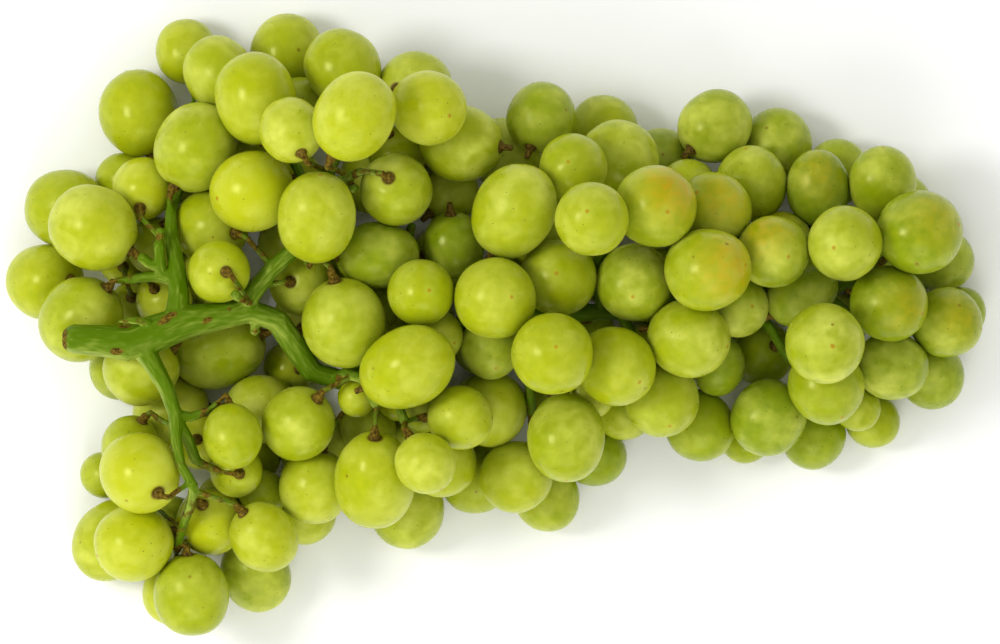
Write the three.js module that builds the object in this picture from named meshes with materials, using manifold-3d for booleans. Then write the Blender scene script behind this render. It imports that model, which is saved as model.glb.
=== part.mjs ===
// A bunch of green table grapes lying on a level surface.
// Millimetres, +Z up. X runs from the cut stem at the left to the tip at the right,
// and the whole bunch rests on z = 0.
import * as THREE from 'three';
import { mergeVertices } from 'three/addons/utils/BufferGeometryUtils.js';
import Module from 'manifold-3d';

const wasm = await Module();
wasm.setup();

// ---------------------------------------------------------------- driving dimensions
const GAP = 0.3; // clear space kept between two neighbouring pieces
const PRESS = 0.45; // depth by which a berry that bears on the surface is pressed flat
const ROUND = 1.05; // length of a berry over its width where the table gives no length
const BERRY_SIDES = 8; // facets around a berry
const BERRY_BANDS = 4; // facets from its stem end to its blossom end
const NECK_RADIUS = 1.5; // flattened contact that joins two berries of one cluster
const NECK_REACH = 2.2; // widest gap that a contact spans
const NECK_DEPTH = 1.6; // how far a contact goes into each berry
const NECK_SIDES = 3;
const END_COSINE = 0.88; // contacts stay further than this from the ends of a berry's axis
const CLUSTER_SIZE = 3; // berries that a cluster starts with
const CLUSTER_MOST = 4; // berries in the fullest cluster
const PEDICEL_RADIUS = 0.75; // little stalk of one berry
const PEDICEL_SIDES = 4;
const RACHIS_SIDES = 8;
const LATERAL_SIDES = 6;
const OPEN_END = -30; // the stalks of berries beyond this are buried, and are left out
const RACHIS_STEP = 8; // length of one straight piece of the main stem
const LATERAL_STEP = 7;
const STALK_STEP = 6; // spacing of the points that a stalk's route bends at
const PEDICEL_LONGEST = 24;
const PEDICEL_STARTS = 14; // places on the stem that are tried for each stalk
const APPROACH = 3.2; // height above its berry at which a stalk turns towards it
const ROUTE_ROUNDS = 60; // rounds of easing a stalk's route past the berries
const ROUTE_EASE = 0.12;
const KNOB_RADIUS = 1.5; // swollen end of a stalk, where the berry sits
const KNOB_ROOM = 3.4; // length of the knob, which may come close to its own berry
const HIDDEN_WIDTHS = [17.5, 16.5, 18.5, 17, 16]; // berries of the underside, in turn
const HIDDEN_LOWEST = 8.5;
const HIDDEN_HIGHEST = 42;
const HIDDEN_STEP = 3; // spacing of the places that are tried for them
const HIDDEN_SQUEEZE = 0.9; // how tightly they start before they settle
const COVER_DEPTH = 8; // a berry is hidden under others that are this much higher
const COVER_REACH = 1;
const SETTLING_STEPS = 700;
const HOLD = 0.03; // share by which a berry returns to its row's place at each step
const SINK = 0.02; // fall at each step
const LIFT = 0.55; // share of a push that may lift a berry; the rest moves it sideways
const BEARING = 0.5; // a berry that is closer to the surface than this bears on it
const SURFACE_SIZE = 400;
const SURFACE_DEPTH = 20;
const WELD = 1e-4; // corners closer than this are one

// ---------------------------------------------------------------- stem routes
// Each route is a list of [x, y, z, radius] along the middle of the stem.
const RACHIS = [
  [-109, -3.8, 38.5, 3.5], [-103, -3.9, 38.6, 3.6], [-97, -4.8, 38.2, 4.1], [-91, -4.8, 37.6, 4.6],
  [-86, -2.5, 37, 4.6], [-80, 0, 36.4, 4.2], [-73, 1.3, 35.6, 3.6], [-66, 2.6, 35, 3.1],
  [-60, 3.2, 34, 2.9], [-55, 0, 32, 3], [-50.5, -7, 30, 3], [-46, -13, 28.5, 2.7],
  [-38, -14, 27, 2.5], [-24, -8, 25.5, 2.3], [-8, 0, 25, 2.2], [10, 2, 24.5, 2.1],
  [28, 3, 23, 2], [44, 5, 20, 1.8], [58, 9, 17.5, 1.6], [70, 8, 16.5, 1.5], [83, 7, 16, 1.3],
];
const LATERALS = {
  lowerShoulder: [[-90, -5, 37.6, 3], [-86, -11.5, 38, 2.3], [-83, -17, 38.6, 1.9],
    [-81.2, -22.5, 39, 1.7], [-81, -28, 39.5, 1.5], [-80.3, -33, 40.5, 1.1],
    [-79, -37, 41.2, 1.1], [-76.4, -41, 41.5, 1.3]],
  lowerShoulderEnd: [[-76.4, -41, 41.5, 1.2], [-77.5, -46, 36, 1.1], [-79.5, -51, 30, 1.1],
    [-81, -57, 24, 1]],
  lowerInner: [[-81.2, -23.5, 39, 1.6], [-79, -27, 37, 1.5], [-77, -31.5, 34.5, 1.4],
    [-75, -36, 33, 1.2], [-70.5, -37, 34, 1]],
  lowerTwig: [[-81, -22.8, 38.6, 1.4], [-77, -23.4, 36.5, 1.2], [-73.2, -22, 35.5, 1]],
  upperShoulder: [[-80.8, 0, 36.2, 3.4], [-80.3, 8, 35.2, 2.7], [-80.8, 14, 33.4, 2.3],
    [-82, 20, 31.4, 1.9], [-82.8, 25.5, 29.4, 1.6], [-82.5, 28.5, 28, 1.3]],
  upperShoulderEnd: [[-82.6, 27.5, 28.4, 1.2], [-80, 35, 19, 1.1], [-80.5, 46, 16, 1.1],
    [-77, 55, 15, 1]],
  upperLeftTwig: [[-80.5, 11, 34.4, 1.7], [-84.5, 12.3, 33.6, 1.5], [-88.5, 11.4, 32.4, 1.3],
    [-93.5, 10.8, 31.4, 1]],
  upperKnot: [[-84.6, 12.3, 33.6, 1.4], [-85, 15.6, 35, 1.3], [-85.3, 20.2, 36.2, 1.4]],
  upperLeftStalk: [[-85, 14, 34.4, 1.3], [-87.6, 14.9, 35, 1.3], [-90, 16.8, 35.2, 1.2]],
  centre: [[-65, 2.8, 34.8, 2.6], [-61.5, 8, 36, 2.3], [-58, 12.5, 36.6, 2.1], [-53, 17, 36, 2],
    [-48, 23, 35, 1.8], [-44, 30, 34, 1.6], [-42.4, 37, 33.6, 1.4], [-42.2, 40.5, 33.4, 1.2]],
  centreLeft: [[-46, 27, 34.6, 1.4], [-50, 38, 31, 1.2], [-56, 46, 26, 1.1], [-60.6, 57, 17.4, 0.9]],
  centreFar: [[-42.3, 39, 33.4, 1.3], [-38, 47, 33, 1.2], [-34, 56, 33.6, 1.1], [-26, 57, 33.4, 0.9]],
  centreRight: [[-43, 33.5, 34, 1.4], [-38.6, 36.4, 36.5, 1.2], [-34.5, 38, 40, 1]],
  middle: [[-41, -14, 27.6, 1.8], [-38.8, -12.6, 33, 1.5], [-36.6, -12.2, 37.5, 1.4],
    [-33.5, -14.5, 38.5, 1.3], [-30.8, -20.4, 39.6, 1.3]],
  middleLower: [[-27, -9.4, 25.8, 1.6], [-26.4, -15, 32, 1.4], [-25.2, -21.8, 38.6, 1.2],
    [-23.8, -24.7, 40, 1.1]],
  middleUpper: [[-22, -7, 25.4, 1.4], [-23, 3, 29, 1.2], [-25, 12, 24, 1.1], [-22, 25, 26, 1]],
  bodyUpper: [[8, 1.8, 24.5, 1.5], [4, 12, 31, 1.3], [-1, 22, 31, 1.2], [6, 36, 27, 1]],
  bodyLower: [[10, 2, 24.5, 1.5], [7, -10, 29, 1.3], [8, -20, 26, 1.1], [8, -30, 20, 1]],
  bodyRight: [[26, 3, 23.4, 1.5], [24, 15, 30, 1.3], [31, 25, 31, 1.2], [40, 36, 24, 1]],
  bodyFront: [[30, 3, 22.6, 1.4], [36, -8, 24, 1.2], [42, -16, 14, 1]],
  tipUpper: [[58, 9, 17.5, 1.4], [60, 21, 22, 1.2], [70, 27, 13, 1.1], [84, 24, 12, 1]],
  tipLower: [[60, 9, 17.4, 1.3], [67, 0, 22, 1.2], [74, -11, 21, 1.1], [84, -18, 15, 0.9]],
  tipRight: [[81, 7.2, 16, 1.2], [91, 12, 20, 1.1], [99, 18, 20, 0.9]],
  tipEnd: [[82, 7, 16, 1.2], [95, -3, 15, 1.1], [104, -6, 14, 0.9]],
};
// A small dry bract that lies along the cut stem.
const BRACT = [[-87.5, 0, 40.6, 1], [-91, 0.9, 41.6, 1.1], [-95.4, 0.4, 41.4, 0.4]];
// Stalks whose berry fell off: a short stalk that ends in its bare knob.
const BARE_STALKS = [
  [[-85.3, 20.2, 36.2], [-84.9, 22, 36.8], [-84.7, 23.6, 37]],
  [[-62.6, 5, 36.5], [-62.6, 5.2, 43], [-64.4, 5.8, 48.5], [-66.3, 7.3, 50.4]],
  [[-38.6, 36.4, 36.5], [-37.2, 34.8, 38.6], [-36.2, 33.3, 39.6]],
  [[-61, 3, 34], [-61.6, -0.5, 35], [-61.2, -2.4, 33.6]],
];

// ---------------------------------------------------------------- berries
// One row is x, y, z of the middle, width, and where they are known the length and the
// direction from the middle to the stem end. A stalk may list the points it passes.
const berry = (x, y, z, width, length, stem, route) => ({ x, y, z, width, length, stem, route });
const SEEN = [
  // upper shoulder
  berry(-78.3, 68, 8, 15),
  berry(-70.5, 62.5, 20, 17, 19, [0.5, -0.8, 0.2]),
  berry(-61.7, 55.5, 34, 19.6, 23, [0.2, -1, -0.2]),
  berry(-91, 52, 14, 19.5, 21.5, [0.3, -1, 0]),
  berry(-76.5, 43, 31, 20.4, 22, [-5, -9, 0.5], [[-81.8, 30.4, 31]]),
  berry(-88, 34.5, 20, 15, 15.4, [-0.6, -4.6, 6], [[-87.2, 22.4, 35.6], [-88.2, 25.4, 33]]),
  berry(-95.5, 36, 8, 13),
  berry(-108, 29.5, 10.5, 19),
  berry(-101.3, 24.3, 29, 20.6, 22.2, [8.5, -5.3, 1.4]),
  berry(-114.2, 10.5, 9.5, 18.4),
  berry(-105, 1, 23.5, 20, 21.6, [0.62, 0.72, 0.35]),
  berry(-92.5, 6, 8, 11.5),
  berry(-84.6, 6.5, 14, 13.5),
  berry(-87, 18.5, 14, 13.5),
  berry(-94.5, 14.5, 9, 11),
  berry(-70.2, 11.5, 42, 15, 16.3, [1.8, 0, 7.5], [[-61.6, 10.6, 42], [-62.4, 11, 48.6], [-65.4, 11.3, 52]]),
  berry(-72.5, 24, 31, 18, 18.4, [6, -1.5, 6.5], [[-59.6, 17.6, 39], [-61.2, 20.6, 40.4], [-63.6, 22, 40]]),
  berry(-62.3, 33.3, 43.5, 19.8, 20.6),
  berry(-53, 36, 26, 16, 16.6, [1.5, 0, 7.5], [[-49.5, 34.5, 36]]),
  berry(-51.8, 48.8, 45, 15.4, 16, [2.4, -5.5, 4.9], [[-45.6, 38.6, 41], [-47, 40, 48]]),
  berry(-50.5, 55, 21, 13),
  berry(-53.8, 68.5, 20, 17.5, 18.6),
  berry(-39, 64, 36, 18.3, 19.5),
  berry(-36.9, 51.2, 55, 19.4, 22.4, [-5, -8.5, -2], [[-43.4, 41, 42]]),
  berry(-21, 57, 30, 18),
  berry(-17.8, 53.7, 48, 18.2),
  berry(-10.2, 45.7, 34, 18.5, 20.6, [-1, 0.1, -0.3]),
  berry(2.5, 44.5, 21.5, 17.4),
  berry(9.2, 50.6, 15, 16.5),
  berry(13.6, 49, 5.5, 11),
  // far edge of the body
  berry(26.5, 46.3, 8, 16),
  berry(30, 41, 24, 18.8, 19.4),
  berry(18.2, 38.5, 37, 16.5, 17, [1.2, -1.3, -8]),
  berry(40.2, 43, 8.5, 16),
  berry(44.5, 35.5, 22, 13),
  berry(53.7, 46.5, 15, 17.6),
  berry(64, 35, 26, 17.4),
  berry(70, 44, 9, 16.8),
  berry(54.5, 28.5, 36, 17.8),
  berry(79, 33.5, 22, 15.4, 18.8, [0, -1, -0.3]),
  berry(83.5, 38.5, 8.2, 15.4),
  berry(94.3, 34.6, 23, 16.5, 18.4, [0, -1, -0.4]),
  berry(100.5, 28, 8.6, 16.6),
  berry(72, 21.5, 27, 13),
  // top of the body
  berry(-46, 26.4, 54, 19.2, 22.8, [-0.1, -1, -0.5]),
  berry(-26.4, 33, 40, 17.6, 17.8, [-1.8, 2.7, 8.2], [[-31, 37.6, 48]]),
  berry(-25, 42.5, 27, 14, 14.4, [-2, 4.8, 4.7]),
  berry(-13, 33, 25, 14),
  berry(-29.7, 17.5, 30, 16.4, 20.4, [1, 0, -0.2]),
  berry(-11.7, 19.5, 28, 15, 16.4, [0.1, -1, -0.4]),
  berry(-49.5, 10.5, 25, 16.4, 17, [-3, 0, 7.7], [[-58.8, 7.7, 39.6], [-56.4, 6.8, 39.8], [-54, 8.4, 38.6]]),
  berry(-38.8, -0.6, 50, 20.4, 22, [-2.2, 9.4, 2.6], [[-44.4, 17, 41], [-42.8, 13.2, 46.5]]),
  berry(-31.5, 5, 26, 12.6),
  berry(-19.6, 7.2, 43, 16, 16.6, [-1.9, -0.5, -7.5]),
  berry(-16, -3, 34, 12.6),
  berry(-22.9, -10.8, 54, 19.5, 24.4, [-0.9, -0.42, -0.35]),
  berry(-1, 6.3, 53, 19.8, 20.2, [-3.8, -0.3, -9]),
  berry(4.3, 28.6, 46, 20, 24, [-0.47, -0.88, -0.3]),
  berry(14.7, 11.7, 44, 18.8, 19.4, [0.5, -0.9, -9]),
  berry(23.4, 26.1, 53, 17.8, 18.6, [0.6, -1, -5]),
  berry(39.4, 28.6, 46, 20, 20.6, [-2, 1, -7]),
  berry(32, 10.4, 37, 18.6, 20.2, [0.5, 3.1, -8.5]),
  berry(51.5, 13.6, 49, 20, 21.4, [-8, -1, -5]),
  berry(68, 18.6, 43, 17.6, 18.2, [-3, 1, -7]),
  berry(86, 20, 43, 18.2, 18.8, [2.7, 1, -8.5]),
  berry(103.6, 21.8, 36, 20.4, 21.2, [-1, -0.2, -0.5]),
  berry(109.8, 16, 8, 15.6, 17, [-1, 0, 0.3]),
  berry(75.3, 7.8, 30, 15, 19, [-0.8, -0.57, -0.1]),
  berry(59.6, 3.8, 27, 15, 15.8, [-3.5, 0, -7]),
  berry(46.5, -3.5, 33, 19, 20.4, [-1, 0.2, -0.4]),
  berry(13.5, -7.7, 51, 20, 20.6, [-0.8, -1.5, -9]),
  berry(30, -10.5, 41, 19, 20.4, [-0.6, 0.4, -0.8]),
  berry(-3, -6, 37, 14.6, 15.2),
  berry(81, -5.3, 45, 19.4, 20, [-1, 0.4, -6]),
  berry(98, 5, 30, 18.4, 19.2, [-1, 0.3, -0.6]),
  berry(86, 1, 15, 13.4),
  // near edge of the body
  berry(-9.8, -23.6, 45, 15.6, 15.8, [-7.5, 0, -2], [[-20.6, -24, 42.6]]),
  berry(-0.5, -22.5, 31, 17, 18.4, [0.1, 1, 0.2]),
  berry(16.7, -28.3, 40, 19, 22, [0, 1, -0.35]),
  berry(4, -36, 23, 17.4, 18, [6.5, 3, 5]),
  berry(-6.5, -38.5, 9, 17.2),
  berry(12.4, -43.4, 8.2, 16),
  berry(-14.3, -35, 27, 16.6, 17, [-3, 7, 3], [[-21, -27.4, 38]]),
  berry(-19, -35, 41, 14.5, 14.8, [-3, 5, -1.5], [[-23.6, -27.6, 42.4]]),
  berry(-31.8, -39.2, 36, 20, 25, [0, 0.84, 0.5], [[-31.8, -23.4, 42], [-31.9, -26, 44]]),
  berry(-23.5, -46.5, 16, 18.4, 20, [0, 1, 0.3]),
  berry(-46, -40.5, 23, 17.4),
  berry(-50, -46.8, 8.4, 15.6),
  berry(-59, -43, 16, 12),
  berry(-33.5, -25.5, 27, 13.6, 14, [-1.4, 5.3, 4.4], [[-36, -15.6, 37], [-35.5, -18, 35.4]]),
  berry(-37, -17, 33, 8.6),
  berry(-26, -20, 33, 10),
  berry(-19.6, -22, 32, 9.6),
  berry(22.4, -18, 27, 13),
  berry(29.6, -23.4, 14, 14.6),
  berry(24.6, -31.6, 8, 15),
  berry(39.5, -17, 22, 18.2),
  berry(54.5, -11.5, 21, 13, 15, [0.1, 1, 0.2]),
  berry(52, -25, 12, 17),
  berry(61, -28.6, 6, 12),
  berry(69, -23.5, 18, 18.2),
  berry(78, -28, 8.2, 15.6),
  berry(65, -6.5, 12, 15.8),
  berry(80.5, -16, 29, 18.4, 19.2, [-0.5, 1, -0.6]),
  berry(93.4, -24.2, 6.8, 13),
  berry(91.2, -19.4, 18, 11),
  berry(97, -11, 22, 16.6, 18, [-1, 0.2, 0]),
  berry(111.5, 0, 20, 17, 17.8, [-1, 0.2, -0.2]),
  berry(115.4, 3, 6.4, 12.4),
  berry(108.5, -13, 8.6, 16.2),
  // lower shoulder
  berry(-90.5, -11, 24, 18.2, 18.6, [1, 0.6, 0.1]),
  berry(-93.2, -13.4, 7.8, 15),
  berry(-71.3, -8.3, 15, 20.6, 24, [1, 0.3, 0.3]),
  berry(-84.3, -20.5, 9.5, 18.2, 19.2, [1, 0.1, 0]),
  berry(-91.6, -30.2, 20, 14.2, 14.8, [2.8, 6, 3], [[-82.4, -26.4, 38], [-85, -25.6, 35]]),
  berry(-89, -36.8, 36, 19.2, 20.8, [4.5, -4.7, 7.4], [[-80.6, -41.4, 43.6]]),
  berry(-100, -38.2, 7, 10.8),
  berry(-97, -54.5, 10, 18, 21, [0.6, 0.8, 0.2]),
  berry(-91.2, -55.5, 32, 18.8, 19.6, [0.9, 0.3, -0.3]),
  berry(-83.4, -50.5, 14, 12.6),
  berry(-78.5, -66, 24, 18.4, 20.4, [-0.1, 1, 0.2]),
  berry(-82.2, -68, 8, 15),
  berry(-61.5, -63, 9.5, 17, 19, [-0.4, 1, 0.2]),
  berry(-72, -49.5, 23, 16.4, 17, [-1.8, 4, 7]),
  berry(-59.7, -53.4, 32, 16, 18, [-4.9, 5.9, 4], [[-71, -43.4, 41], [-68, -45.2, 40]]),
  berry(-69.5, -44, 7.6, 12.4),
  berry(-67.5, -27.7, 38, 14.3, 16, [-0.1, 1, -0.3]),
  berry(-75, -30, 18, 13, 13.4, [-0.3, 0.6, 6]),
  berry(-61.5, -34, 10, 13.4),
  berry(-67.5, -36, 24, 12.6, 13, [0.8, -0.5, 6]),
  berry(-50.5, -25.2, 39, 17.8, 18.2, [4.6, 6.1, 4.8], [[-40.6, -13.2, 40], [-43, -15.6, 44.4]]),
  berry(-60, -21, 24, 16.8, 18.2, [-8, 0.5, 2.4]),
  berry(-53, -11, 14, 12.4),
];

// ---------------------------------------------------------------- solids
// A closed geometry becomes a solid that can be joined and cut.
function solidFrom(geometry) {
  const bare = geometry.clone();
  bare.deleteAttribute('normal');
  bare.deleteAttribute('uv');
  const merged = mergeVertices(bare, WELD);
  const corners = merged.index.array;
  const faces = [];
  for (let i = 0; i < corners.length; i += 3) {
    const [a, b, c] = corners.slice(i, i + 3);
    if (a !== b && b !== c && c !== a) {
      faces.push(a, b, c);
    }
  }
  return new wasm.Manifold(new wasm.Mesh({
    numProp: 3,
    vertProperties: new Float32Array(merged.attributes.position.array),
    triVerts: new Uint32Array(faces),
  }));
}

function geometryFrom(solid) {
  const mesh = solid.getMesh();
  const geometry = new THREE.BufferGeometry();
  geometry.setAttribute('position', new THREE.BufferAttribute(new Float32Array(mesh.vertProperties), 3));
  geometry.setIndex(new THREE.BufferAttribute(new Uint32Array(mesh.triVerts), 1));
  geometry.computeVertexNormals();
  return geometry;
}

// The outer skin of a joined solid, without pockets that its bars close off inside.
function outerBody(solid) {
  return solid.decompose().sort((a, b) => b.volume() - a.volume())[0];
}

function routeLength(route) {
  return route.slice(1).reduce((total, point, i) => total + Math.hypot(
    point[0] - route[i][0], point[1] - route[i][1], point[2] - route[i][2]), 0);
}

function stepsOf(route, spacing) {
  return Math.max(2, Math.round(routeLength(route) / spacing));
}

// Evenly spaced stations along the smooth curve through a route, each with its radius.
function stations(route, steps) {
  const curve = new THREE.CatmullRomCurve3(route.map(([x, y, z]) => new THREE.Vector3(x, y, z)),
    false, 'centripetal');
  const frames = curve.computeFrenetFrames(steps, false);
  return frames.normals.map((normal, i) => {
    const t = curve.getUtoTmapping(i / steps) * (route.length - 1);
    const before = Math.min(Math.floor(t), route.length - 2);
    return {
      middle: curve.getPointAt(i / steps),
      radius: THREE.MathUtils.lerp(route[before][3], route[before + 1][3], t - before),
      normal,
      binormal: frames.binormals[i],
    };
  });
}

// A round bar bent along a smooth route, with its own radius at every station.
function bentBar(route, sides, steps) {
  const rings = stations(route, steps);
  const bar = new THREE.CylinderGeometry(1, 1, 1, sides, steps);
  const place = bar.attributes.position;
  for (let i = 0; i < place.count; i += 1) {
    const along = THREE.MathUtils.clamp(0.5 - place.getY(i), 0, 1);
    const ring = rings[Math.round(along * steps)];
    const corner = ring.middle.clone().addScaledVector(ring.normal, place.getX(i) * ring.radius)
      .addScaledVector(ring.binormal, place.getZ(i) * ring.radius);
    place.setXYZ(i, corner.x, corner.y, corner.z);
  }
  const solid = solidFrom(bar);
  return solid.volume() > 0 ? solid : solidFrom(flipped(bar));
}

// The same geometry with its faces turned the other way.
function flipped(geometry) {
  const turned = geometry.clone();
  const order = turned.index.array;
  for (let i = 0; i < order.length; i += 3) {
    [order[i], order[i + 1]] = [order[i + 1], order[i]];
  }
  return turned;
}

// ---------------------------------------------------------------- settling the berries
const UP = new THREE.Vector3(0, 0, 1);

function grape(row) {
  return {
    middle: new THREE.Vector3(row.x, row.y, row.z),
    home: new THREE.Vector3(row.x, row.y, row.z),
    half: row.width / 2,
    halfLong: (row.length ?? row.width * ROUND) / 2,
    stem: row.stem ? new THREE.Vector3(...row.stem).normalize() : null,
    stemKnown: Boolean(row.stem),
    route: row.route ?? null,
    seen: row.seen ?? true,
  };
}

// Distance from a berry's middle to its skin in one direction.
function skin(g, direction) {
  const along = direction.dot(g.stem) ** 2;
  return 1 / Math.sqrt(along / g.halfLong ** 2 + (1 - along) / g.half ** 2);
}

// Height of a berry's middle when its lowest point touches the surface.
function standing(g) {
  const along = g.stem.z ** 2;
  return Math.sqrt(along * g.halfLong ** 2 + (1 - along) * g.half ** 2);
}

// Straight lengths of a bar between its stations, for clearances.
function lengthsOf(route, steps) {
  const rings = stations(route, steps);
  return rings.slice(1).map((ring, i) => ({
    start: rings[i].middle,
    end: ring.middle,
    radius: Math.max(rings[i].radius, ring.radius),
  }));
}

function nearestOn(length, point) {
  const line = new THREE.Line3(length.start, length.end);
  return line.closestPointToPoint(point, true, new THREE.Vector3());
}

function pointStems(grapes, lengths) {
  for (const g of grapes) {
    if (g.stemKnown) {
      continue;
    }
    let best = null;
    for (const length of lengths) {
      const spot = nearestOn(length, g.middle);
      if (!best || spot.distanceTo(g.middle) < best.distanceTo(g.middle)) {
        best = spot;
      }
    }
    g.stem = best.sub(g.middle).normalize();
    g.stem.z = THREE.MathUtils.clamp(g.stem.z, -0.7, 0.7);
    g.stem.normalize();
  }
}

function settle(grapes, lengths, steps) {
  const push = new THREE.Vector3();
  for (let step = 0; step < steps; step += 1) {
    const calm = 1 - step / steps;
    for (const g of grapes) {
      const hold = g.seen ? HOLD * calm : 0;
      g.middle.x += (g.home.x - g.middle.x) * hold;
      g.middle.y += (g.home.y - g.middle.y) * hold;
      g.middle.z -= SINK * calm;
    }
    for (let i = 0; i < grapes.length; i += 1) {
      const a = grapes[i];
      for (let j = i + 1; j < grapes.length; j += 1) {
        const b = grapes[j];
        push.subVectors(b.middle, a.middle);
        const apart = push.length();
        if (apart > a.halfLong + b.halfLong + GAP) {
          continue;
        }
        push.divideScalar(apart);
        const wanted = skin(a, push) + skin(b, push) + GAP * 1.2;
        if (apart < wanted) {
          const half = (wanted - apart) * 0.5;
          const flat = a.seen && b.seen ? LIFT : 1;
          a.middle.addScaledVector(push, -half).add(
            new THREE.Vector3(push.x, push.y, 0).multiplyScalar(half * (1 - flat)));
          b.middle.addScaledVector(push, half).add(
            new THREE.Vector3(push.x, push.y, 0).multiplyScalar(-half * (1 - flat)));
        }
      }
      for (const length of lengths) {
        const spot = nearestOn(length, a.middle);
        push.subVectors(a.middle, spot);
        const apart = push.length();
        if (apart > a.halfLong + length.radius + GAP) {
          continue;
        }
        push.divideScalar(apart);
        const wanted = skin(a, push) + length.radius + GAP * 1.5;
        if (apart < wanted) {
          a.middle.addScaledVector(push, wanted - apart);
        }
      }
      a.middle.z = Math.max(a.middle.z, standing(a));
    }
  }
}

// Berries of the underside, which fill the room below those that are seen from above.
function fillUnderside(grapes, lengths) {
  const box = new THREE.Box3().setFromPoints(grapes.map((g) => g.middle));
  let turn = 0;
  for (let z = HIDDEN_LOWEST; z < HIDDEN_HIGHEST; z += HIDDEN_STEP) {
    for (let x = box.min.x; x < box.max.x; x += HIDDEN_STEP) {
      for (let y = box.min.y; y < box.max.y; y += HIDDEN_STEP) {
        const g = grape({ x, y, z, width: HIDDEN_WIDTHS[turn % HIDDEN_WIDTHS.length] });
        g.seen = false;
        g.stem = UP.clone();
        const covers = grapes.filter((other) => other.seen && other.middle.z > z + COVER_DEPTH
          && Math.hypot(other.middle.x - x, other.middle.y - y) < other.half + COVER_REACH);
        const clear = grapes.every((other) => other.middle.distanceTo(g.middle)
          > (other.half + g.half) * HIDDEN_SQUEEZE);
        const offStem = lengths.every((length) => nearestOn(length, g.middle).distanceTo(g.middle)
          > g.half * HIDDEN_SQUEEZE + length.radius);
        if (covers.length > 1 && clear && offStem) {
          grapes.push(g);
          turn += 1;
        }
      }
    }
  }
}

// ---------------------------------------------------------------- shapes
// An oval berry: its stem end and blossom end are single corners on its own axis.
function berryGeometry(g) {
  const outline = [];
  for (let band = 0; band <= BERRY_BANDS; band += 1) {
    const angle = Math.PI * band / BERRY_BANDS - Math.PI / 2;
    const across = band === 0 || band === BERRY_BANDS ? 0 : g.half * Math.cos(angle);
    outline.push(new THREE.Vector2(across, g.halfLong * Math.sin(angle)));
  }
  const shape = new THREE.LatheGeometry(outline, BERRY_SIDES);
  shape.applyQuaternion(new THREE.Quaternion().setFromUnitVectors(
    new THREE.Vector3(0, 1, 0), g.stem));
  shape.translate(g.middle.x, g.middle.y, g.middle.z);
  return shape;
}

function berrySolid(g) {
  const geometry = berryGeometry(g);
  const solid = solidFrom(geometry);
  return solid.volume() > 0 ? solid : solidFrom(flipped(geometry));
}

// The flattened contact between two berries that press on each other.
function contact(a, b) {
  const direction = new THREE.Vector3().subVectors(b.middle, a.middle).normalize();
  const start = a.middle.clone().addScaledVector(direction, skin(a, direction) - NECK_DEPTH);
  const end = b.middle.clone().addScaledVector(direction, NECK_DEPTH - skin(b, direction));
  const bar = new THREE.CylinderGeometry(NECK_RADIUS, NECK_RADIUS, start.distanceTo(end),
    NECK_SIDES, 1);
  bar.applyQuaternion(new THREE.Quaternion().setFromUnitVectors(
    new THREE.Vector3(0, 1, 0), direction));
  const middle = start.add(end).multiplyScalar(0.5);
  bar.translate(middle.x, middle.y, middle.z);
  return solidFrom(bar);
}

// Two berries can be joined where they almost touch, away from their ends.
function joinable(a, b) {
  const direction = new THREE.Vector3().subVectors(b.middle, a.middle);
  const apart = direction.length();
  direction.normalize();
  const gap = apart - skin(a, direction) - skin(b, direction);
  const offEnds = Math.abs(direction.dot(a.stem)) < END_COSINE
    && Math.abs(direction.dot(b.stem)) < END_COSINE;
  return gap < NECK_REACH && offEnds;
}

function clusters(grapes) {
  const near = grapes.map((a) => grapes.filter((b) => b !== a && joinable(a, b)));
  const free = new Set(grapes);
  const groups = [];
  const freeNear = (g) => near[grapes.indexOf(g)].filter((other) => free.has(other));
  while (free.size > 0) {
    const seed = [...free].sort((a, b) => freeNear(a).length - freeNear(b).length
      || a.middle.x - b.middle.x)[0];
    const group = { members: [seed], joints: [] };
    free.delete(seed);
    while (group.members.length < CLUSTER_SIZE) {
      const options = group.members.flatMap((from) => freeNear(from).map((to) => ({ from, to })));
      if (options.length === 0) {
        break;
      }
      options.sort((p, q) => freeNear(p.to).length - freeNear(q.to).length);
      group.members.push(options[0].to);
      group.joints.push(options[0]);
      free.delete(options[0].to);
    }
    groups.push(group);
  }
  // A berry or pair left over joins the smallest neighbour.
  for (const group of groups.filter((item) => item.members.length < CLUSTER_SIZE)) {
    const home = groups.filter((item) => item !== group && item.members.length > 0
      && item.members.length + group.members.length <= CLUSTER_MOST
      && item.members.some((to) => group.members.some((from) => joinable(from, to))))
      .sort((p, q) => p.members.length - q.members.length)[0];
    if (!home || group.members.length === 0) {
      continue;
    }
    const to = home.members.find((item) => group.members.some((from) => joinable(from, item)));
    const from = group.members.find((item) => joinable(item, to));
    home.members.push(...group.members);
    home.joints.push(...group.joints, { from, to });
    group.members = [];
  }
  return groups.filter((group) => group.members.length > 0);
}

// ---------------------------------------------------------------- stalks
// Depth of a point inside the room that a berry needs around it, with its way out.
function wayOut(g, point, room) {
  const out = new THREE.Vector3().subVectors(point, g.middle);
  const apart = out.length();
  out.divideScalar(apart);
  return { out, depth: skin(g, out) + room - apart };
}

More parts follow.
